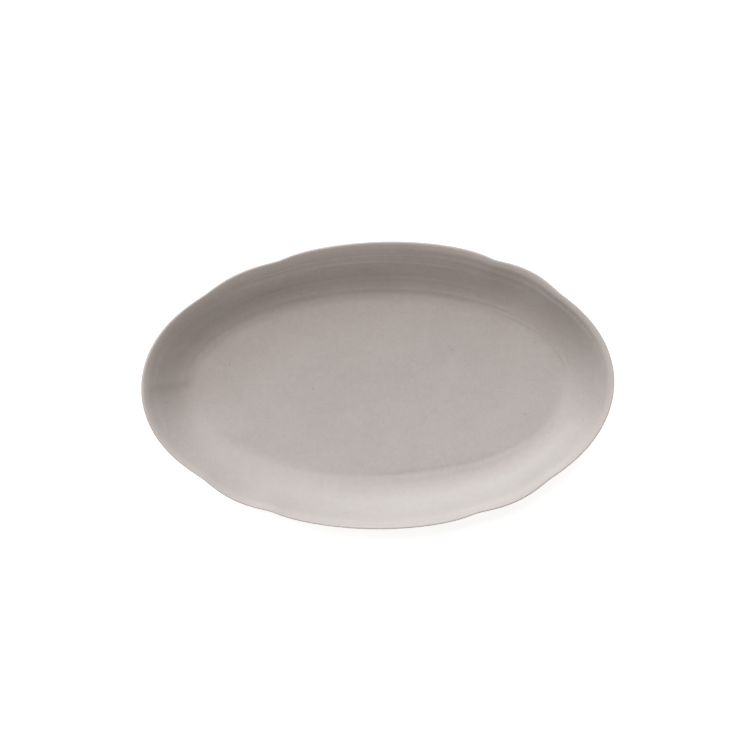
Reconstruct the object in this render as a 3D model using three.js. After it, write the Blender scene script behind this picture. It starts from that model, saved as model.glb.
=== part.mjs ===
// An oval stoneware serving dish with a lobed rim, in millimetres, +Z up.
// The origin is on the table, under the middle of the dish. +X runs along its length.
//
// A slab of clay is pressed over an oval mould, a strip of clay is luted on as its foot, and the whole is
// glazed. Each piece is turned on a lathe as a round form, then pressed into the oval, so that they all share
// one section.
import * as THREE from "three";

// Driving dimensions of the finished dish.
const RIM_LENGTH = 235;
const RIM_WIDTH = 143;
const HEIGHT = 25;

// The flat floor of the well.
const FLOOR_LENGTH = 184;
const FLOOR_WIDTH = 83;
const FLOOR_THICKNESS = 5;

// The wall sweeps up from the floor, eases off below the lip and thins on the way.
const WALL_SWEEP = 8.5; // how far its curve keeps to the line of the floor
const WALL_EASE = 12; // how far its curve keeps to the slope at its top
const WALL_TOP_SLOPE = 34; // degrees
const WALL_TOP_THICKNESS = 3.4;

// The lip rolls over from the wall's slope to its crest. Its edge is round and curves in under it.
const LIP_WIDTH = 4.6;
const LIP_RISE = 2.5;
const LIP_EDGE_RADIUS = 0.4;
const LIP_EDGE_DROP = 2.4; // how far the curve under the lip keeps straight down

// The foot is an oval strip that tapers down to its resting face.
const FOOT_LENGTH = 160;
const FOOT_WIDTH = 72;
const FOOT_HEIGHT = 4;
const FOOT_STRIP = 6.5;
const FOOT_TAPER = 1;
const FOOT_EDGE_ROUND = 0.7;

// The glaze is wiped off the foot up to a line above the table.
const GLAZE = 0.4;
const WIPE_HEIGHT = 1.3;

// The rim going round from +X towards +Y. Each lobe starts at a notch, at an angle of the oval in degrees.
// The notch dips inside the plain oval and the lobe's crest stands outside it, in millimetres.
// The rim was cut by hand, so no two notches are quite alike. A full lobe is flat along its middle.
const CORNER = 2;
const SIDE = 8;
const END = 3.2;
const LOBES = [
  { notch: 38, dip: 0.8, crest: 1.1, fullness: CORNER },
  { notch: 59.5, dip: 0.4, crest: 0.1, fullness: SIDE },
  { notch: 114.5, dip: 2, crest: -0.9, fullness: CORNER },
  { notch: 137, dip: 1.9, crest: 0, fullness: END },
  { notch: 220, dip: 2.4, crest: -0.6, fullness: CORNER },
  { notch: 242, dip: 1.6, crest: 0.1, fullness: SIDE },
  { notch: 294, dip: 0.3, crest: 1.1, fullness: CORNER },
  { notch: 316.5, dip: 0.7, crest: 0, fullness: END },
];
const NOTCH_SOFTNESS = 1.5; // 1 is a sharp nick, and more is rounder
const LOBE_FADE = 2.5; // the power with which the lobes die out down the wall

// How finely the round forms are divided.
const COLUMNS = 96;
const WALL_STEPS = 6;
const LIP_STEPS = 3;
const EDGE_STEPS = 3;

const clay = new THREE.MeshStandardMaterial({ color: 0xb9a590, roughness: 0.9, metalness: 0 });
const glaze = new THREE.MeshStandardMaterial({ color: 0xb7aea9, roughness: 0.45, metalness: 0 });

// Heights and reaches that the pieces share. A reach is a distance from the middle, across the dish.
const floorTop = FOOT_HEIGHT + FLOOR_THICKNESS;
const clayTop = HEIGHT - GLAZE;
const clayReach = RIM_WIDTH / 2 - GLAZE;
const floorReach = FLOOR_WIDTH / 2;
const footReach = FOOT_WIDTH / 2;
const footInnerReach = footReach - FOOT_STRIP;

const point = (reach, height) => new THREE.Vector2(reach, height);

// The oval

// Ovals that fix how far the dish goes along for each reach across, from the middle outwards.
const ovals = [
  point(0, 0),
  point(footInnerReach, FOOT_LENGTH / 2 - FOOT_STRIP),
  point(footReach, FOOT_LENGTH / 2),
  point(floorReach, FLOOR_LENGTH / 2),
  point(RIM_WIDTH / 2, RIM_LENGTH / 2),
];

// Half the length of the oval that has this reach, between the two ovals on either side of it.
function halfLength(reach) {
  const next = ovals.findIndex((oval, i) => i > 0 && reach <= oval.x);
  const outer = ovals[next < 0 ? ovals.length - 1 : next];
  const inner = ovals[ovals.indexOf(outer) - 1];
  return THREE.MathUtils.mapLinear(reach, inner.x, outer.x, inner.y, outer.y);
}

// How far the rim stands out from the plain oval at an angle in radians.
function lobeOffset(angle) {
  const degrees = THREE.MathUtils.euclideanModulo(THREE.MathUtils.radToDeg(angle), 360);
  const index = LOBES.findLastIndex((lobe) => lobe.notch <= degrees);
  const lobe = LOBES.at(index);
  const next = LOBES[(index + 1) % LOBES.length];
  const span = THREE.MathUtils.euclideanModulo(next.notch - lobe.notch, 360);
  const along = THREE.MathUtils.euclideanModulo(degrees - lobe.notch, 360) / span;
  const valley = -THREE.MathUtils.lerp(lobe.dip, next.dip, THREE.MathUtils.smoothstep(along, 0, 1));
  const swell = lobe.crest + (lobe.dip + next.dip) / 2;
  return valley + swell * (1 - Math.abs(2 * along - 1) ** lobe.fullness) ** NOTCH_SOFTNESS;
}

// The share of the lobes that is left at this reach: none on the floor, all of it at the rim.
function lobeShare(reach) {
  const share = THREE.MathUtils.inverseLerp(floorReach, RIM_WIDTH / 2, reach);
  return THREE.MathUtils.clamp(share, 0, 1) ** LOBE_FADE;
}

// The place on the dish that has this reach and angle. The lobes stand square to the plain oval.
function ovalPoint(reach, angle) {
  const long = halfLength(reach);
  const square = point(reach * Math.cos(angle), long * Math.sin(angle)).normalize();
  const offset = lobeOffset(angle) * lobeShare(reach);
  return point(long * Math.cos(angle), reach * Math.sin(angle)).addScaledVector(square, offset);
}

// A section turned on a lathe and pressed into the oval. The lathe's axis becomes +Z.
function pressed(section) {
  const geometry = new THREE.LatheGeometry(section, COLUMNS);
  const places = geometry.getAttribute("position");
  for (let i = 0; i < places.count; i++) {
    const reach = Math.hypot(places.getX(i), places.getZ(i));
    const place = ovalPoint(reach, Math.atan2(places.getX(i), places.getZ(i)));
    places.setXYZ(i, place.x, place.y, places.getY(i));
  }
  geometry.computeVertexNormals();
  return geometry;
}

// The section of the clay

// From the edge of the floor up to the inner edge of the lip.
const lipStart = point(clayReach - LIP_WIDTH, clayTop - LIP_RISE);
const topSlope = THREE.MathUtils.degToRad(WALL_TOP_SLOPE);
const wall = new THREE.CubicBezierCurve(
  point(floorReach, floorTop),
  point(floorReach + WALL_SWEEP, floorTop),
  point(lipStart.x - WALL_EASE * Math.cos(topSlope), lipStart.y - WALL_EASE * Math.sin(topSlope)),
  lipStart,
);

// The underside of the wall follows the inside, and its thickness goes from the floor's to the lip's.
function wallUnderside(along) {
  const direction = wall.getTangent(along);
  const thickness = THREE.MathUtils.lerp(FLOOR_THICKNESS, WALL_TOP_THICKNESS, along);
  return wall.getPoint(along).add(point(direction.y, -direction.x).multiplyScalar(thickness));
}

// The top of the lip rolls over to its crest.
const lipCrest = point(clayReach - LIP_EDGE_RADIUS, clayTop);
const lipTop = new THREE.QuadraticBezierCurve(
  lipStart,
  point(lipStart.x + LIP_RISE / Math.tan(topSlope), clayTop),
  lipCrest,
);

// The edge of the lip is round at its crest, and then curves down and in to the underside of the wall.
const lipSide = point(clayReach, clayTop - LIP_EDGE_RADIUS);
const lipEdge = new THREE.EllipseCurve(
  lipCrest.x,
  lipSide.y,
  LIP_EDGE_RADIUS,
  LIP_EDGE_RADIUS,
  Math.PI / 2,
  0,
  true,
);
const lipUnder = new THREE.QuadraticBezierCurve(
  lipSide,
  point(lipSide.x, lipSide.y - LIP_EDGE_DROP),
  wallUnderside(1),
);

const steps = Array.from({ length: WALL_STEPS + 1 }, (_, i) => i / WALL_STEPS);
const slab = [
  point(0, floorTop),
  ...wall.getPoints(WALL_STEPS),
  ...lipTop.getPoints(LIP_STEPS).slice(1, -1),
  ...lipEdge.getPoints(EDGE_STEPS),
  ...lipUnder.getPoints(LIP_STEPS).slice(1, -1),
  ...steps.map((step) => wallUnderside(1 - step)),
];

// The foot strip, from its joint with the slab down to the table and up again.
const footOuterSide = [point(footReach, FOOT_HEIGHT), point(footReach - FOOT_TAPER, WIPE_HEIGHT)];
const footInnerSide = [point(footInnerReach + FOOT_TAPER, WIPE_HEIGHT), point(footInnerReach, FOOT_HEIGHT)];
const footSole = [
  point(footOuterSide[1].x - FOOT_EDGE_ROUND, 0),
  point(footInnerSide[0].x + FOOT_EDGE_ROUND, 0),
];

// The glaze

// A line set off from the clay by the glaze's thickness, to the left of the way the line runs.
function glazed(line) {
  const squares = line.slice(1).map((end, i) => {
    const run = end.clone().sub(line[i]).normalize();
    return point(-run.y, run.x);
  });
  return line.map((place, i) => {
    const before = squares[Math.max(i - 1, 0)];
    const after = squares[Math.min(i, squares.length - 1)];
    const bisector = before.clone().add(after);
    return bisector.multiplyScalar(GLAZE / (1 + before.dot(after))).add(place);
  });
}

// A coat over a line of the clay's section, out along the clay and back along the glaze.
function coat(line) {
  const section = [...line, ...glazed(line).reverse()];
  if (line[0].x > 0) section.push(line[0]);
  return pressed(section);
}

// A piece of clay. Its section runs the same way as the coat's line, so that the two have the same facets
// where they touch. The lathe leaves it inside out, so each of its triangles is turned over.
function formed(section) {
  const geometry = pressed(section);
  const corners = geometry.index;
  for (let i = 0; i < corners.count; i += 3) {
    const second = corners.getX(i + 1);
    corners.setX(i + 1, corners.getX(i + 2));
    corners.setX(i + 2, second);
  }
  geometry.computeVertexNormals();
  return geometry;
}

// The pieces

function piece(name, geometry, material) {
  const mesh = new THREE.Mesh(geometry, material);
  mesh.name = name;
  return mesh;
}

const dish = new THREE.Group();
dish.add(
  piece("clay_body", formed([...slab, point(0, FOOT_HEIGHT)]), clay),
  piece("foot_ring", formed([footInnerSide[1], ...footOuterSide, ...footSole, ...footInnerSide]), clay),
  piece("glaze_coat", coat([...slab, ...footOuterSide]), glaze),
  piece("base_glaze", coat([...footInnerSide, point(0, FOOT_HEIGHT)]), glaze),
);

export default dish;
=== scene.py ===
# %% [markdown]
# # An oval dish with a lobed rim
# This lesson dresses a stoneware serving dish that was built as solids beforehand. The solids fix where
# everything is and how large it is. Here each of them gets a finer mesh and a finish: the clay, its
# foot, and the two coats of glaze. All lengths are in metres.

# %% Load the frame
import functools
import math

import bmesh
import bpy
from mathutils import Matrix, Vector, geometry, noise


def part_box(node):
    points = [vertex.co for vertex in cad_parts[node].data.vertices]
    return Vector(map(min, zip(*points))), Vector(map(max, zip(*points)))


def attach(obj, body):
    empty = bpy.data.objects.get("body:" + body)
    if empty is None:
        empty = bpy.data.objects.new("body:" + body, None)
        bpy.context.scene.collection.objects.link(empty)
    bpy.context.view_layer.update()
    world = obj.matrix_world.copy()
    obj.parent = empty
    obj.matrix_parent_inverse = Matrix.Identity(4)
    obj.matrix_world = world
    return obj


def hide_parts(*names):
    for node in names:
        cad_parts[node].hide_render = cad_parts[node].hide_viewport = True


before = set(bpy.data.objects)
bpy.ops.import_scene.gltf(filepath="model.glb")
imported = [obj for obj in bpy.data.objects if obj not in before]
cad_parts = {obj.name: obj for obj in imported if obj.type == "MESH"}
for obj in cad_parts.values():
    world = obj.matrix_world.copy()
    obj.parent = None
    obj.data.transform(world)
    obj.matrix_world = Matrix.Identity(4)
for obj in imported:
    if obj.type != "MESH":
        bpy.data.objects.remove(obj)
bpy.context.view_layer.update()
print("frame nodes:", sorted(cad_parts))

# %% [markdown]
# ## The sizes of the dish
# A reach is a distance from the middle, measured across the dish. The heights and the foot come from
# the solids, so that the new meshes sit where they do. What the solids don't give as a box, such as the
# oval of the floor, is written once, here or where it is first needed.

# %% Sizes
MM = 0.001
RIM_REACH = 71.5 * MM
RIM_HALF_LENGTH = 117.65 * MM
FLOOR_REACH = 41.5 * MM
FLOOR_HALF_LENGTH = 92 * MM
FLOOR_THICKNESS = 5 * MM
FOOT_STRIP = 6.5 * MM
GLAZE_THICKNESS = 0.4 * MM

clay_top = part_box("clay_body")[1].z
clay_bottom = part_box("clay_body")[0].z
clay_reach = RIM_REACH - GLAZE_THICKNESS
floor_top = clay_bottom + FLOOR_THICKNESS
foot_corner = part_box("foot_ring")[1]
foot_reach = foot_corner.y
foot_inner_reach = foot_reach - FOOT_STRIP
print(f"clay from {clay_bottom / MM:.1f} to {clay_top / MM:.1f} mm, foot reach {foot_reach / MM:.1f} mm")

# %% [markdown]
# ## Pressing a round form into the oval
# The dish isn't round, so a plain spin can't make it. A potter presses a round slab over an oval mould,
# and the same trick works here. Each piece is spun as a round form first, and then every vertex moves
# to the place on the oval that has its reach and its angle. A sculpted mesh could do it too, but then
# the pieces wouldn't share one form.
#
# A lobe runs from one notch to the next. The notch dips inside the plain oval and the crest stands
# outside it, and no two are quite alike, because the rim was cut by hand. The lobes are strongest at
# the rim and die out down the wall.

# %% The oval and its lobes
CORNER, SIDE, END = 2, 8, 3.2
LOBES = (
    # angle of the notch in degrees, its dip and the crest in mm, and how flat the middle of the lobe is
    (38, 0.8, 1.1, CORNER),
    (59.5, 0.4, 0.1, SIDE),
    (114.5, 2, -0.9, CORNER),
    (137, 1.9, 0, END),
    (220, 2.4, -0.6, CORNER),
    (242, 1.6, 0.1, SIDE),
    (294, 0.3, 1.1, CORNER),
    (316.5, 0.7, 0, END),
)
NOTCH_SOFTNESS = 1.5
LOBE_FADE = 2.5
OVALS = (
    # reach and half length, from the middle outwards
    (0, 0),
    (foot_inner_reach, foot_corner.x - FOOT_STRIP),
    (foot_reach, foot_corner.x),
    (FLOOR_REACH, FLOOR_HALF_LENGTH),
    (RIM_REACH, RIM_HALF_LENGTH),
)


def mix(low, high, share):
    """The value at this share of the way from low to high."""
    return low + (high - low) * share


def ease(share):
    """A share kept from 0 to 1, with a soft start and a soft end."""
    share = min(max(share, 0), 1)
    return share * share * (3 - 2 * share)


def half_length(reach):
    """Half the length of the oval that has this reach."""
    pairs = list(zip(OVALS, OVALS[1:]))
    inner, outer = next((pair for pair in pairs if reach <= pair[1][0]), pairs[-1])
    return mix(inner[1], outer[1], (reach - inner[0]) / (outer[0] - inner[0]))


def lobe_offset(angle):
    """How far the rim stands out from the plain oval."""
    degrees = math.degrees(angle) % 360
    passed = [i for i, lobe in enumerate(LOBES) if lobe[0] <= degrees]
    index = passed[-1] if passed else len(LOBES) - 1
    notch, dip, crest, fullness = LOBES[index]
    next_notch, next_dip = LOBES[(index + 1) % len(LOBES)][:2]
    along = ((degrees - notch) % 360) / ((next_notch - notch) % 360)
    swell = (1 - abs(2 * along - 1) ** fullness) ** NOTCH_SOFTNESS
    return (-mix(dip, next_dip, ease(along)) + (crest + (dip + next_dip) / 2) * swell) * MM


def wall_share(reach):
    """0 on the floor, 1 at the rim."""
    return min(max((reach - FLOOR_REACH) / (RIM_REACH - FLOOR_REACH), 0), 1)


def oval_point(reach, angle):
    """The place on the dish with this reach and angle. The lobes stand square to the plain oval."""
    long = half_length(reach)
    place = Vector((long * math.cos(angle), reach * math.sin(angle)))
    square = Vector((reach * math.cos(angle), long * math.sin(angle)))
    if reach > 0:
        place += square.normalized() * lobe_offset(angle) * wall_share(reach) ** LOBE_FADE
    return place


right_end = oval_point(RIM_REACH, 0).x
back = oval_point(RIM_REACH, math.pi / 2).y
print(f"rim at the right end {right_end / MM:.1f} mm, at the back {back / MM:.1f} mm")

# %% [markdown]
# ## The traces of the hand
# Pressed clay is never quite even. The next cells say how far the surface is moved up or down at each
# place. It could be sculpted, but a few functions give the same form on every run. They depend only on
# the reach and the angle, so clay and glaze move together and stay in touch.
#
# The first two traces go all round the dish. They are given at a few angles, from the right end by way
# of the back, and ease from one to the next. The rim stands lower at the right of the back and of the
# front, and the wall follows it. The wall is fuller along the back, and hollower at the ends and along
# the front.

# %% The rim and the wall
RIM_DROP = (
    # angle in degrees, and how much lower the rim is there in mm
    (0, 0.5),
    (45, 1.9),
    (85, 0),
    (230, 0),
    (270, 0.5),
    (305, 0.8),
    (360, 0.5),
)
DROP_FADE = 1.5
WALL_BELLY = (
    # angle in degrees, and how far the wall is pressed up there in mm
    (0, -1.1),
    (45, -1.5),
    (75, 0.2),
    (95, 1.0),
    (126, 1.0),
    (160, 0.3),
    (185, -0.6),
    (230, -1.4),
    (270, -2.3),
    (305, -3.0),
    (335, -1.9),
    (360, -1.1),
)
BELLY_SKEW = 1.25


def going_round(stops, angle):
    """A length that changes smoothly around the dish, from its values at a few angles."""
    degrees = math.degrees(angle) % 360
    start, end = next(pair for pair in zip(stops, stops[1:]) if degrees <= pair[1][0])
    return mix(start[1], end[1], ease((degrees - start[0]) / (end[0] - start[0]))) * MM


def drop(reach, angle):
    """The rim is lower at some places, and the wall follows it less and less on the way down."""
    return -going_round(RIM_DROP, angle) * wall_share(reach) ** DROP_FADE


def belly(reach, angle):
    """The wall is fuller or hollower, most of all a little above its middle."""
    return going_round(WALL_BELLY, angle) * math.sin(math.pi * wall_share(reach) ** BELLY_SKEW) ** 2


print(f"the rim drops by up to {max(depth for _, depth in RIM_DROP)} mm")

# %% [markdown]
# ## The hollow of the floor
# The floor of a pressed dish sinks a little towards its middle as it dries. The slope of the hollow
# runs on into the wall and dies out there, because a hollow that stopped at the wall would leave a hard
# ring.

# %% Floor
FLOOR_SINK = 1.3 * MM


def floor_hollow(reach):
    """How far the floor and the foot of the wall are moved up."""
    if reach < FLOOR_REACH:
        return FLOOR_SINK * ((reach / FLOOR_REACH) ** 2 - 1)
    slope = 2 * FLOOR_SINK / FLOOR_REACH
    return slope * (reach - FLOOR_REACH) * (1 - wall_share(reach)) ** 2


print(f"the middle of the floor sinks by {-floor_hollow(0) / MM:.1f} mm")

# %% [markdown]
# ## The marks of the tool
# The forming tool left rings and broad hollows on the wall. A real ring isn't even: it is clearest
# where the tool was pressed hardest and runs out to both sides. So each mark has a length of its own,
# and noise makes it clearer or fainter and lets it wander. The noise is read along a circle, so that it
# meets itself after a full turn. The place of a mark in the list is its height in the noise, so the
# order of the list is part of the form.

# %% Tool marks
TOOL_MARKS = (
    # reach, height and half width in mm, and its middle and its run to each side in degrees
    (39.6, -0.04, 0.9, 250, 30),
    (44.0, 0.6, 8.0, 184, 60),
    (45.7, -0.1, 1.6, 285, 60),
    (46.4, -0.1, 1.4, 115, 80),
    (45.6, 0.1, 1.0, 25, 45),
    (48.2, 0.12, 1.0, 85, 70),
    (53.2, 0.08, 0.9, 85, 55),
    (56.0, 0.08, 0.9, 120, 60),
    (58.8, 0.4, 3.5, 95, 65),
    (60.9, 0.1, 0.8, 95, 80),
    (62.8, 0.07, 0.6, 120, 70),
    (64.2, 0.09, 0.6, 105, 85),
    (65.6, 0.06, 0.5, 125, 70),
    (66.4, -0.3, 1.2, 15, 85),
    (52.0, -0.85, 6.5, 290, 65),
    (65.2, -0.15, 1.8, 185, 45),
)
MARK_FADE = 1.6
MARK_STRENGTH = 0.75
MARK_CHANCE = 0.7
MARK_WANDER = 0.7
NOISE_CIRCLE = 3
NOISE_STEP = 5
WANDER_SCALE = 0.6
WANDER_SHIFT = Vector((0, 0, 100))
ANGLE_DIGITS = 4


@functools.cache
def marks_at(angle):
    """The reach, height and half width in mm of each tool mark that passes this angle."""
    found = []
    for index, (mark_reach, height, width, middle, length) in enumerate(TOOL_MARKS):
        turn = abs((math.degrees(angle) - middle + 180) % 360 - 180)
        there = Vector((
            NOISE_CIRCLE * math.cos(angle),
            NOISE_CIRCLE * math.sin(angle),
            NOISE_STEP * index,
        ))
        chance = MARK_STRENGTH + MARK_CHANCE * noise.noise(there)
        strength = ease(MARK_FADE * (1 - turn / length)) * chance
        wander = MARK_WANDER * noise.noise(there * WANDER_SCALE + WANDER_SHIFT)
        if strength > 0:
            found.append((mark_reach + wander, height * strength, width))
    return found


def tool_marks(reach, angle):
    """How far the tool marks move the surface up. Rounding lets a column share its marks."""
    total = 0
    for middle, height, width in marks_at(round(angle, ANGLE_DIGITS)):
        total += height * math.exp(-(((reach / MM - middle) / width) ** 2))
    return MM * total


print(f"tool marks that pass the back: {len(marks_at(math.pi / 2))} of {len(TOOL_MARKS)}")

# %% [markdown]
# ## The lip
# The lip was pressed flatter at the right end than elsewhere. Along the front it is tucked in before
# its edge, and its outermost part rolls over, most of all at the left end. Each of these is a curve
# across the lip, times a length that goes round the dish, which is easier to follow than moving single
# points.

# %% Lip
LIP_WIDTH = 4.6 * MM
LIP_EDGE_RADIUS = 0.25 * MM
LIP_SAG = (
    # angle in degrees, and how far the lip is pressed down there in mm
    (0, 1.0),
    (30, 1.0),
    (55, 0.7),
    (90, 0),
    (130, 0.05),
    (180, 0),
    (270, 0),
    (310, 0.2),
    (360, 1.0),
)
LIP_TUCK = (
    # angle in degrees, and the strength of the tuck there in mm, of which it reaches about six tenths
    (0, 0),
    (195, 0),
    (240, 0.22),
    (270, 0.25),
    (310, 0.22),
    (345, 0),
    (360, 0),
)
TUCK_SCALE = 4
LIP_ROLL = (
    # angle in degrees, and how far the outermost part of the lip rolls over there in mm
    (0, 0.05),
    (45, 0.15),
    (90, 0.25),
    (135, 0.3),
    (180, 0.55),
    (225, 0.25),
    (270, 0.05),
    (315, 0.25),
    (360, 0.05),
)
ROLL_POWER = 6

lip_inner_reach = clay_reach - LIP_WIDTH
lip_crest_reach = clay_reach - LIP_EDGE_RADIUS


def lip_press(reach, angle):
    """How far the lip is moved up, which is never above 0."""
    share = min(max((reach - lip_inner_reach) / (lip_crest_reach - lip_inner_reach), 0), 1)
    sag = going_round(LIP_SAG, angle) * ease(share)
    tuck = going_round(LIP_TUCK, angle) * TUCK_SCALE * share**2 * (1 - share)
    roll = going_round(LIP_ROLL, angle) * share**ROLL_POWER
    return -sag - tuck - roll


print(f"the lip sags by {going_round(LIP_SAG, 0) / MM:.1f} mm at the right end")

# %% [markdown]
# ## The seam
# A low seam climbs the wall at the left end. Its side towards the back is gentle, and towards the front
# it drops off sharply. Two exponential curves that meet at the top of the seam give just that, and a
# smooth bump would not. The seam fades out over the first and the last quarter of the wall.

# %% Seam
SEAM_AT = Vector((-102.5 * MM, 3.4 * MM))
SEAM_LEAN = 0.15
SEAM_HEIGHT = 0.5 * MM
SEAM_SLOPE = 8 * MM
SEAM_DROP = 2.6 * MM
SEAM_FADE = 4


def seam(place, reach):
    """How far the seam moves the surface up."""
    if place.x > 0:
        return 0
    beyond = place.y - SEAM_AT.y - SEAM_LEAN * (place.x - SEAM_AT.x)
    across = beyond / SEAM_SLOPE if beyond > 0 else -beyond / SEAM_DROP
    upwards = SEAM_FADE * wall_share(reach)
    on_wall = ease(upwards) * ease(SEAM_FADE - upwards)
    return SEAM_HEIGHT * on_wall * math.exp(-across)


print(f"seam {SEAM_HEIGHT / MM:.1f} mm high at x {SEAM_AT.x / MM:.1f} mm, y {SEAM_AT.y / MM:.1f} mm")

# %% [markdown]
# ## All the traces together
# Smooth noise moves the whole surface up and down by about a tenth of a millimetre, and less on the
# floor. It stands for all the small swellings that have no cause of their own. The traces are added to
# it.

# %% Unevenness
SWELL_SIZE = 30 * MM
SWELL_HEIGHT = 0.14 * MM
FLOOR_SWELL = 0.4


def unevenness(place, reach, angle):
    """How far the surface is moved up from the plain form."""
    flat = Vector((place.x, place.y, 0))
    swell = SWELL_HEIGHT * noise.noise(flat / SWELL_SIZE) * mix(FLOOR_SWELL, 1, wall_share(reach))
    pressed = lip_press(reach, angle) + drop(reach, angle)
    broad = swell + belly(reach, angle) + pressed + floor_hollow(reach)
    return broad + tool_marks(reach, angle) + seam(place, reach)


back_rim = unevenness(oval_point(RIM_REACH, math.pi / 2), RIM_REACH, math.pi / 2)
print(f"the rim at the back is moved by {back_rim / MM:.2f} mm")

# %% [markdown]
# ## From a section to a piece
# `bmesh.ops.spin` turns a line of edges about an axis, as a lathe does. A Screw modifier could do the
# same, but the mesh has to be final before it is pressed. A full turn is given `use_merge`, so that the
# last column is joined to the first. The points on the axis come out once per column, so doubles are
# merged before the normals are worked out, and only then is the piece pressed. The unevenness dies out
# down the foot, and ends at the line where the glaze is wiped off, so that the dish stands flat. The
# spin lists its vertices and faces in another order on each run, so they are sorted by place.
#
# Each point also carries a number from 0 to 1, which says how thin the glaze is there. It is stored as
# a layer of the mesh, and the spin copies it along, so that the finish can read it later.

# %% Spin and press
COLUMNS = 300
MERGE_DISTANCE = 0.001 * MM
WIPE_HEIGHT = 1.3 * MM
THIN = "thin"


def press(vert):
    """Move one vertex of a round form to its place on the dish."""
    reach = math.hypot(vert.co.x, vert.co.y)
    angle = math.atan2(vert.co.y, vert.co.x)
    place = oval_point(reach, angle)
    settle = ease((vert.co.z - WIPE_HEIGHT) / (clay_bottom - WIPE_HEIGHT))
    vert.co = (place.x, place.y, vert.co.z + settle * unevenness(place, reach, angle))


def sort_by_place(parts, place_of):
    """List the vertices or faces of a mesh by their places."""
    in_order = sorted(parts, key=lambda part: tuple(place_of(part)))
    ranks = {part: rank for rank, part in enumerate(in_order)}
    parts.sort(key=lambda part: ranks[part])


def turned(name, section, thin=None, closed=False):
    """A piece from its section, a list of points in the XZ plane."""
    bm = bmesh.new()
    layer = bm.verts.layers.float.new(THIN)
    verts = [bm.verts.new(place) for place in section]
    for vert, value in zip(verts, thin or [0] * len(verts)):
        vert[layer] = value
    for start, end in zip(verts, verts[1:]):
        bm.edges.new((start, end))
    if closed:
        bm.edges.new((verts[-1], verts[0]))
    bmesh.ops.spin(
        bm,
        geom=bm.verts[:] + bm.edges[:],
        axis=(0, 0, 1),
        cent=(0, 0, 0),
        angle=2 * math.pi,
        steps=COLUMNS,
        use_merge=True,
    )
    bmesh.ops.remove_doubles(bm, verts=bm.verts, dist=MERGE_DISTANCE)
    bmesh.ops.recalc_face_normals(bm, faces=bm.faces)
    sort_by_place(bm.verts, lambda vert: vert.co)
    sort_by_place(bm.faces, lambda face: face.calc_center_median())
    for vert in bm.verts:
        press(vert)
    for face in bm.faces:
        face.smooth = True
    mesh = bpy.data.meshes.new(name)
    bm.to_mesh(mesh)
    bm.free()
    piece = bpy.data.objects.new(name, mesh)
    bpy.context.scene.collection.objects.link(piece)
    print(f"{name}: {len(mesh.vertices)} vertices, {len(mesh.polygons)} faces")
    return piece


print(f"each piece will have {COLUMNS} columns")

# %% [markdown]
# ## The inside of the slab
# The section of the clay starts in the middle of the floor, sweeps up the wall and rolls over to the
# crest of the lip. It could be drawn point by point, but curves stay smooth at any number of steps.
# `interpolate_bezier` gives the points of a cubic curve from its two ends and two handles. Where a
# curve only bends round a corner, both handles lie two thirds of the way to that corner.

# %% Lines of the inside
FLOOR_STEPS = 10
WALL_STEPS = 96
LIP_STEPS = 12
WALL_SWEEP = 8.5 * MM
WALL_EASE = 12 * MM
WALL_TOP_SLOPE = math.radians(34)
LIP_RISE = 2.5 * MM
CORNER_SHARE = 2 / 3


def at(reach, height):
    """A point of a section."""
    return Vector((reach, 0, height))


def between(start, end, steps):
    """The points of a straight line, with both ends."""
    return [start.lerp(end, i / steps) for i in range(steps + 1)]


def bend(start, corner, end, steps, share=CORNER_SHARE):
    """A curve that bends round a corner. A larger share brings it closer to the corner."""
    return geometry.interpolate_bezier(
        start,
        start.lerp(corner, share),
        end.lerp(corner, share),
        end,
        steps + 1,
    )


lip_start = at(lip_inner_reach, clay_top - LIP_RISE)
top_slope = at(math.cos(WALL_TOP_SLOPE), math.sin(WALL_TOP_SLOPE))
wall_line = geometry.interpolate_bezier(
    at(FLOOR_REACH, floor_top),
    at(FLOOR_REACH + WALL_SWEEP, floor_top),
    lip_start - top_slope * WALL_EASE,
    lip_start,
    WALL_STEPS + 1,
)
lip_crest = at(lip_crest_reach, clay_top)
lip_corner = at(lip_start.x + LIP_RISE / math.tan(WALL_TOP_SLOPE), clay_top)
lip_line = bend(lip_start, lip_corner, lip_crest, LIP_STEPS)
floor_line = between(at(0, floor_top), wall_line[0], FLOOR_STEPS)
inside_line = floor_line + wall_line[1:] + lip_line[1:]
print(f"inside of the slab: {len(inside_line)} points")

# %% [markdown]
# ## The edge and the underside
# The edge of the lip is round at its crest, and then curves down and in under the lip. The underside of
# the wall is the inside line set off by the thickness of the wall, which shrinks towards the lip, so
# the two stay parallel. It is smoother than the inside, and every fourth point is enough for it.

# %% Lines of the outside
EDGE_STEPS = 8
UNDER_LIP_STEPS = 10
UNDERSIDE_STEP = 4
LIP_EDGE_DROP = 2.4 * MM
WALL_TOP_THICKNESS = 3.4 * MM


def set_off(line, distances):
    """The line moved to the left of its run, each point by its own distance."""
    squares = []
    for start, end in zip(line, line[1:]):
        squares.append(Vector((start.z - end.z, 0, end.x - start.x)).normalized())
    moved = []
    for i, place in enumerate(line):
        before = squares[max(i - 1, 0)]
        after = squares[min(i, len(squares) - 1)]
        moved.append(place + (before + after) * distances[i] / (1 + before.dot(after)))
    return moved


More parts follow.
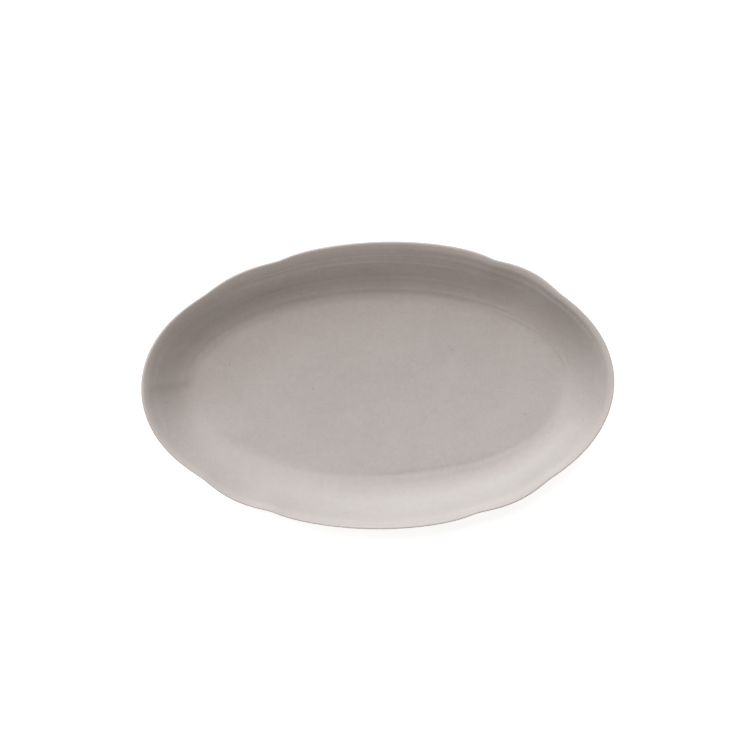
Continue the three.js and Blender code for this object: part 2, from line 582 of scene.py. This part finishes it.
lip_centre = lip_crest - at(0, LIP_EDGE_RADIUS)
edge_line = []
for i in range(EDGE_STEPS + 1):
    angle = math.pi / 2 * (1 - i / EDGE_STEPS)
    edge_line.append(lip_centre + at(math.cos(angle), math.sin(angle)) * LIP_EDGE_RADIUS)
thicknesses = [mix(FLOOR_THICKNESS, WALL_TOP_THICKNESS, i / WALL_STEPS) for i in range(WALL_STEPS + 1)]
underside_line = set_off(wall_line, [-thickness for thickness in thicknesses])[::-UNDERSIDE_STEP]
under_corner = edge_line[-1] - at(0, LIP_EDGE_DROP)
under_lip_line = bend(edge_line[-1], under_corner, underside_line[0], UNDER_LIP_STEPS)
slab_line = inside_line + edge_line[1:] + under_lip_line[1:] + underside_line[1:]
print(f"section of the slab: {len(slab_line)} points")

# %% [markdown]
# ## The clay body and its foot
# The body is the slab's section closed along the flat underside. The foot is a strip of the same clay,
# luted on under the floor, so it is a piece of its own. It tapers a little, and its lower edges are
# rounded where a wet sponge wiped the glaze away. Both sides of the foot are made by one function,
# which mirrors them.

# %% Body and foot
UNDER_STEPS = 8
FOOT_STEPS = 6
SOLE_STEPS = 5
FOOT_TAPER = 1 * MM
FOOT_ROUND = 0.7 * MM
FOOT_ROUND_SHARE = 0.6

under_middle = at(0, clay_bottom)
flat_underside = between(underside_line[-1], under_middle, UNDER_STEPS)
clay_body = turned("stoneware_body", slab_line + flat_underside[1:])


def foot_side(top, direction):
    """One side of the foot: its glazed part from the slab down, and its bare part down to the sole."""
    wipe = at(top.x + direction * FOOT_TAPER, WIPE_HEIGHT)
    sole = at(wipe.x + direction * FOOT_ROUND, 0)
    glazed_part = between(top, wipe, FOOT_STEPS)
    bare_part = bend(wipe, at(wipe.x, 0), sole, SOLE_STEPS, FOOT_ROUND_SHARE)
    return glazed_part, bare_part[1:]


outer_glazed, outer_bare = foot_side(at(foot_reach, clay_bottom), -1)
inner_glazed, inner_bare = foot_side(at(foot_inner_reach, clay_bottom), 1)
foot_section = outer_glazed + outer_bare + (inner_glazed + inner_bare)[::-1]
foot_ring = turned("stoneware_foot", foot_section, closed=True)

# %% [markdown]
# ## The two coats of glaze
# A coat follows the clay's line and comes back along the same line set off by the thickness of the
# glaze. A Solidify modifier would make it even all over, and real glaze is not. It runs thin over the
# lip, gathers where the floor meets the wall, and stops at the wiped line in a soft round edge. So the
# thickness is worked out point by point, together with the number that the finish reads. The side that
# lies on the clay is never seen, and keeps every third point.

# %% Glaze coats
LIP_THINNING = 0.55
LIP_SPREAD = 3.2 * MM
POOL = 0.15
POOL_WIDTH = 2.5 * MM
WIPED_EDGE = 0.7 * MM
HIDDEN_STEP = 3


def lip_closeness(place):
    """1 at the edge of the lip, and less with the distance from it."""
    from_edge = (place - lip_centre).length - LIP_EDGE_RADIUS
    return math.exp(-((from_edge / LIP_SPREAD) ** 2))


def pool(place, corner):
    """1 in the corner where glaze gathers, and less with the distance from it."""
    return math.exp(-(((place - corner).length / POOL_WIDTH) ** 2))


def coat(name, line, corner, wiped_end):
    """Glaze over a line of the clay, which gathers at the corner and ends at the wiped end."""
    thin = []
    distances = []
    for place in line:
        near_lip = lip_closeness(place)
        depth = GLAZE_THICKNESS * (1 - LIP_THINNING * near_lip + POOL * pool(place, corner))
        from_end = min((place - wiped_end).length / WIPED_EDGE, 1)
        distances.append(depth * math.sqrt(1 - (1 - from_end) ** 2))
        thin.append(max(near_lip, 1 - from_end))
    hidden = [0] + list(range(HIDDEN_STEP, len(line) - 1, HIDDEN_STEP)) + [len(line) - 1]
    section = [line[i] for i in hidden] + set_off(line, distances)[::-1]
    section_thin = [thin[i] for i in hidden] + thin[::-1]
    return turned(name, section, section_thin, closed=True)


pool_corner = wall_line[2]
under_edge = between(underside_line[-1], outer_glazed[0], UNDER_STEPS)[1:-1]
glaze_line = slab_line + under_edge + outer_glazed
glaze_coat = coat("glaze_coat_fine", glaze_line, pool_corner, glaze_line[-1])
base_line = inner_glazed[::-1] + between(inner_glazed[0], under_middle, UNDER_STEPS)[1:]
base_glaze = coat("glaze_base_fine", base_line, inner_glazed[0], base_line[0])

# %% [markdown]
# ## Riding on the frame
# Nothing on a dish moves. Every piece rides on the one body and stands for the solid that it refines.
# Each is listed with a slot that says which finish it takes, though nothing here reads the slot.

# %% Frame
RIDERS = (
    # piece, the solid that it stands for, and its slot
    (clay_body, "clay_body", "clay"),
    (foot_ring, "foot_ring", "clay"),
    (glaze_coat, "glaze_coat", "glaze"),
    (base_glaze, "base_glaze", "glaze"),
)
for piece, node, slot in RIDERS:
    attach(piece, "root")
    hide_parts(node)
print(f"pieces riding on root: {len(RIDERS)}")

# %% [markdown]
# ## Writing shader maths as sums
# A material is a graph of nodes. Long graphs read better as sums, so a small class wraps a socket.
# Adding, taking away or multiplying adds a Math node, and its method `node` makes any other kind: its
# settings are set first, and then its sockets get a number or a link.

# %% The wire class


class Wire:
    """An output socket that can be used in sums."""

    def __init__(self, socket):
        self.socket = socket

    def node(self, kind, settings=None, inputs=None, output=0):
        """A new node in the same graph. Its inputs are numbers, colours or wires, by name or place."""
        tree = self.socket.id_data
        made = tree.nodes.new(kind)
        for key, value in (settings or {}).items():
            setattr(made, key, value)
        for key, value in (inputs or {}).items():
            if isinstance(value, Wire):
                tree.links.new(value.socket, made.inputs[key])
            else:
                made.inputs[key].default_value = value
        return Wire(made.outputs[output])

    def maths(self, operation, first, second):
        return self.node("ShaderNodeMath", {"operation": operation}, {0: first, 1: second})

    def __add__(self, other):
        return self.maths("ADD", self, other)

    def __radd__(self, other):
        return self.maths("ADD", other, self)

    def __sub__(self, other):
        return self.maths("SUBTRACT", self, other)

    def __mul__(self, other):
        return self.maths("MULTIPLY", self, other)

    def __rmul__(self, other):
        return self.maths("MULTIPLY", other, self)

    def feed(self, node, name):
        self.socket.id_data.links.new(self.socket, node.inputs[name])


print("wires can be added, taken away and multiplied")

# %% [markdown]
# ## Patterns that the finishes share
# Both finishes are built from the same few patterns: clouds of noise, scattered specks, a ramp that
# picks out a range of values, and a mix of two colours. They are worked out from the place on the
# piece, so no picture has to be unwrapped onto the mesh, and clay and glaze run on across every edge.
#
# The Mix node has sockets for numbers, vectors and colours side by side, under the same names. So its
# colours are given by their places.

# %% Patterns
NOISE_ROUGHNESS = 0.55
SPECK_CORE = 0.5
FIRST_COLOUR, SECOND_COLOUR, MIXED_COLOUR = 6, 7, 2


def new_finish(name):
    """A material, its shader, and the wire with the place on the piece."""
    material = bpy.data.materials.new(name)
    material.use_nodes = True
    tree = material.node_tree
    shader = tree.nodes["Principled BSDF"]
    place = tree.nodes.new("ShaderNodeTexCoord").outputs["Object"]
    return material, shader, Wire(place)


def cloud(place, size, detail=2):
    """Smooth noise from 0 to 1 with blotches of about this size."""
    return place.node(
        "ShaderNodeTexNoise",
        inputs={"Vector": place, "Scale": 1 / size, "Detail": detail, "Roughness": NOISE_ROUGHNESS},
    )


def ramp(value, low, high):
    """0 below low, 1 above high and smooth in between. The ends may be given the other way round."""
    return value.node(
        "ShaderNodeMapRange",
        {"interpolation_type": "SMOOTHSTEP"},
        {"Value": value, "From Min": low, "From Max": high},
    )


def blend(factor, first, second):
    """A mix of two colours."""
    return factor.node(
        "ShaderNodeMix",
        {"data_type": "RGBA"},
        {"Factor": factor, FIRST_COLOUR: first, SECOND_COLOUR: second},
        output=MIXED_COLOUR,
    )


def grain(place, spacing, radius):
    """1 inside small round specks that are scattered about this far apart, and 0 outside."""
    distance = place.node("ShaderNodeTexVoronoi", inputs={"Vector": place, "Scale": 1 / spacing})
    return ramp(distance, radius / spacing, SPECK_CORE * radius / spacing)


def bump(height, strength, distance):
    """A normal that catches the light as if the surface had this height."""
    return height.node(
        "ShaderNodeBump",
        inputs={"Strength": strength, "Distance": distance, "Height": height},
    )


print("patterns: clouds, ramps, blends, grains and bumps")

# %% [markdown]
# ## Bare clay
# The sole of the foot is fired stoneware without glaze: a warm buff, dull and slightly rough, with
# coarser grains of fired clay in it. Noise at two sizes gives the cloudy colour and scattered specks
# the grains. The same patterns feed a Bump node, because grit this fine would need far too many faces
# as geometry.

# %% Clay finish
CLAY_DARK = (0.36, 0.27, 0.19, 1)
CLAY_LIGHT = (0.52, 0.41, 0.31, 1)
PALE_GRAIN = (0.66, 0.57, 0.46, 1)
DARK_GRAIN = (0.1, 0.06, 0.04, 1)
CLAY_CLOUD = 14 * MM
GRIT = 0.6 * MM
DARK_SPACING, DARK_RADIUS = 3.2 * MM, 0.45 * MM
PALE_SPACING, PALE_RADIUS = 2.6 * MM, 0.4 * MM
PALE_SHIFT = (1, 2, 3)
GRIT_STRENGTH = 0.6
GRIT_DEPTH = 0.12 * MM


def clay_finish():
    """Buff stoneware, cloudy and gritty."""
    material, shader, place = new_finish("bare_stoneware")
    clouds = cloud(place, CLAY_CLOUD)
    grit = cloud(place, GRIT, detail=3)
    dark_grains = grain(place, DARK_SPACING, DARK_RADIUS)
    shifted = place.node("ShaderNodeVectorMath", {"operation": "ADD"}, {0: place, 1: PALE_SHIFT})
    pale_grains = grain(shifted, PALE_SPACING, PALE_RADIUS)
    colour = blend(0.65 * clouds + 0.35 * grit, CLAY_DARK, CLAY_LIGHT)
    colour = blend(0.6 * pale_grains, colour, PALE_GRAIN)
    colour = blend(0.8 * dark_grains, colour, DARK_GRAIN)
    colour.feed(shader, "Base Color")
    (0.78 + 0.16 * grit).feed(shader, "Roughness")
    height = grit + 0.5 * pale_grains - 0.4 * dark_grains
    bump(height, GRIT_STRENGTH, GRIT_DEPTH).feed(shader, "Normal")
    return material


bare_clay = clay_finish()
for piece in (clay_body, foot_ring):
    piece.data.materials.append(bare_clay)
print("finish:", bare_clay.name)

# %% [markdown]
# ## The glaze
# The glaze is a warm grey, between satin and matt. Seen close, it has a fine mottle and a few dark iron
# specks that melted up out of the clay. Where it runs thin, over the lip, it is paler, and the number
# that the mesh carries says where that is. The faint orange-peel surface that such a glaze sets with
# comes from a Bump node.

# %% Glaze finish
GLAZE_DARK = (0.329, 0.299, 0.279, 1)
GLAZE_LIGHT = (0.363, 0.331, 0.31, 1)
THIN_GLAZE = (0.44, 0.4, 0.37, 1)
FINE_SPECK = (0.2, 0.165, 0.14, 1)
IRON_SPECK = (0.13, 0.105, 0.09, 1)
GLAZE_CLOUD = 22 * MM
MOTTLE = 3.5 * MM
PEEL = 1.1 * MM
IRON_SPACING, IRON_RADIUS = 11 * MM, 0.5 * MM
FINE_SPACING, FINE_RADIUS = 5 * MM, 0.25 * MM
PEEL_STRENGTH = 0.25
PEEL_DEPTH = 0.08 * MM


def glaze_finish():
    """Warm grey glaze with specks, paler where it is thin."""
    material, shader, place = new_finish("satin_grey_glaze")
    thin = place.node("ShaderNodeAttribute", {"attribute_name": THIN}, output="Fac")
    clouds = cloud(place, GLAZE_CLOUD)
    mottle = cloud(place, MOTTLE, detail=3)
    peel = cloud(place, PEEL)
    specks = grain(place, IRON_SPACING, IRON_RADIUS)
    fine_specks = grain(place, FINE_SPACING, FINE_RADIUS)
    tone = 0.3 * clouds + 0.3 * mottle + 0.4 * peel
    colour = blend(ramp(tone, 0.33, 0.67), GLAZE_DARK, GLAZE_LIGHT)
    paleness = 0.27 * ramp(thin, 0.05, 0.6) + 0.25 * ramp(thin, 0.9, 1.0)
    colour = blend(paleness, colour, THIN_GLAZE)
    colour = blend(0.3 * fine_specks, colour, FINE_SPECK)
    colour = blend(0.45 * specks, colour, IRON_SPECK)
    colour.feed(shader, "Base Color")
    (0.4 + 0.12 * mottle + 0.06 * clouds).feed(shader, "Roughness")
    height = 0.6 * peel + 0.5 * mottle
    bump(height, PEEL_STRENGTH, PEEL_DEPTH).feed(shader, "Normal")
    return material


satin_glaze = glaze_finish()
for piece in (glaze_coat, base_glaze):
    piece.data.materials.append(satin_glaze)
print("finish:", satin_glaze.name)

# %% [markdown]
# ## The table
# The dish stands on a plain white table that runs on into the backdrop. A table that only reflects
# would show a clear shadow, so this one also glows faintly, until the shadow nearly vanishes. It is
# stage, and no part of the dish.

# %% Table
WHITE = (1, 1, 1, 1)
TABLE_RADIUS = 1.2
TABLE_SIDES = 64
TABLE_CLOUD = 150 * MM
TABLE_DARK = (0.39, 0.39, 0.39, 1)
TABLE_LIGHT = (0.41, 0.41, 0.41, 1)
TABLE_ROUGHNESS = 0.9
TABLE_SHINE = 0.1
TABLE_GLOW = 0.84


def pale_floor():
    """A large white disc under the dish."""
    bm = bmesh.new()
    bmesh.ops.create_circle(bm, cap_ends=True, radius=TABLE_RADIUS, segments=TABLE_SIDES)
    mesh = bpy.data.meshes.new("pale_floor")
    bm.to_mesh(mesh)
    bm.free()
    floor = bpy.data.objects.new("pale_floor", mesh)
    bpy.context.scene.collection.objects.link(floor)
    material, shader, place = new_finish("pale_table")
    blend(cloud(place, TABLE_CLOUD), TABLE_DARK, TABLE_LIGHT).feed(shader, "Base Color")
    shader.inputs["Roughness"].default_value = TABLE_ROUGHNESS
    shader.inputs["Specular IOR Level"].default_value = TABLE_SHINE
    shader.inputs["Emission Color"].default_value = WHITE
    shader.inputs["Emission Strength"].default_value = TABLE_GLOW
    mesh.materials.append(material)
    return floor


table = pale_floor()
print(f"table: {table.name}, {2 * TABLE_RADIUS:.1f} m across")

# %% [markdown]
# ## The light
# Two large soft panels stand behind the dish and a little to the left: a low window, which brightens
# the front wall, and a skylight, which fills the floor. A small lamp would give hard shadows and a spot
# of glare on the glaze. An even warm sky fills the shade, and where the camera looks past the dish it
# sees plain white.

# %% Lights and surrounding
PANELS = (
    # name, elevation in degrees, height in metres, power in watts, and colour
    ("window", 22, 1.1, 75, (0.93, 1.01, 1.07)),
    ("skylight", 68, 1.0, 57, (1.02, 0.965, 0.98)),
)
PANEL_DISTANCE = 2.5
PANEL_WIDTH = 2.95
PANEL_AZIMUTH = math.radians(17)
SKY_STRENGTH = 0.2
SKY_COLOUR = (1, 0.93, 0.81, 1)
BACKDROP_STRENGTH = 1.1


def soft_light(name, elevation, height, power, colour):
    """A large panel that faces the middle of the dish."""
    data = bpy.data.lights.new(name, "AREA")
    data.shape = "RECTANGLE"
    data.size = PANEL_WIDTH
    data.size_y = height
    data.energy = power
    data.color = colour
    light = bpy.data.objects.new(name, data)
    bpy.context.scene.collection.objects.link(light)
    towards = Vector((
        -math.sin(PANEL_AZIMUTH) * math.cos(elevation),
        math.cos(PANEL_AZIMUTH) * math.cos(elevation),
        math.sin(elevation),
    ))
    light.location = towards * PANEL_DISTANCE
    light.rotation_euler = towards.to_track_quat("Z", "Y").to_euler()
    light.visible_camera = False


def surrounding_light():
    """An even sky, and a plain white backdrop where the camera looks past the dish."""
    world = bpy.data.worlds.new("pale_surrounding")
    world.use_nodes = True
    background = world.node_tree.nodes["Background"]
    seen = Wire(world.node_tree.nodes.new("ShaderNodeLightPath").outputs["Is Camera Ray"])
    blend(seen, SKY_COLOUR, WHITE).feed(background, "Color")
    (SKY_STRENGTH + (BACKDROP_STRENGTH - SKY_STRENGTH) * seen).feed(background, "Strength")
    bpy.context.scene.world = world


for name, elevation, height, power, colour in PANELS:
    soft_light(name, math.radians(elevation), height, power, colour)
surrounding_light()
bpy.context.scene.view_settings.view_transform = "Standard"
print("light:", ", ".join(panel[0] for panel in PANELS), "and an even sky")

# %% [markdown]
# ## The camera
# The camera looks straight down through a long lens, turned by a degree and a half, as the dish in the
# picture lies. Its lens and its place follow from how many pixels a metre of the rim takes up, and from
# the pixel where the middle of the dish is. That is exact, and trying by hand would not be.

# %% Camera
IMAGE_SIZE = 750
PIXELS_PER_METRE = 2017
DISH_MIDDLE_PIXEL = (377.8, 385.2)
DISH_TILT = math.radians(1.41)
CAMERA_HEIGHT = 1.3

camera_data = bpy.data.cameras.new("camera")
camera = bpy.data.objects.new("camera", camera_data)
bpy.context.scene.collection.objects.link(camera)
right = (IMAGE_SIZE / 2 - DISH_MIDDLE_PIXEL[0]) / PIXELS_PER_METRE
up = (DISH_MIDDLE_PIXEL[1] - IMAGE_SIZE / 2) / PIXELS_PER_METRE
camera.rotation_euler = (0, 0, -DISH_TILT)
camera.location = (
    right * math.cos(DISH_TILT) + up * math.sin(DISH_TILT),
    up * math.cos(DISH_TILT) - right * math.sin(DISH_TILT),
    CAMERA_HEIGHT,
)
focal_pixels = PIXELS_PER_METRE * (CAMERA_HEIGHT - clay_top)
camera_data.lens = camera_data.sensor_width * focal_pixels / IMAGE_SIZE
bpy.context.scene.camera = camera
print(f"lens {camera_data.lens:.0f} mm")
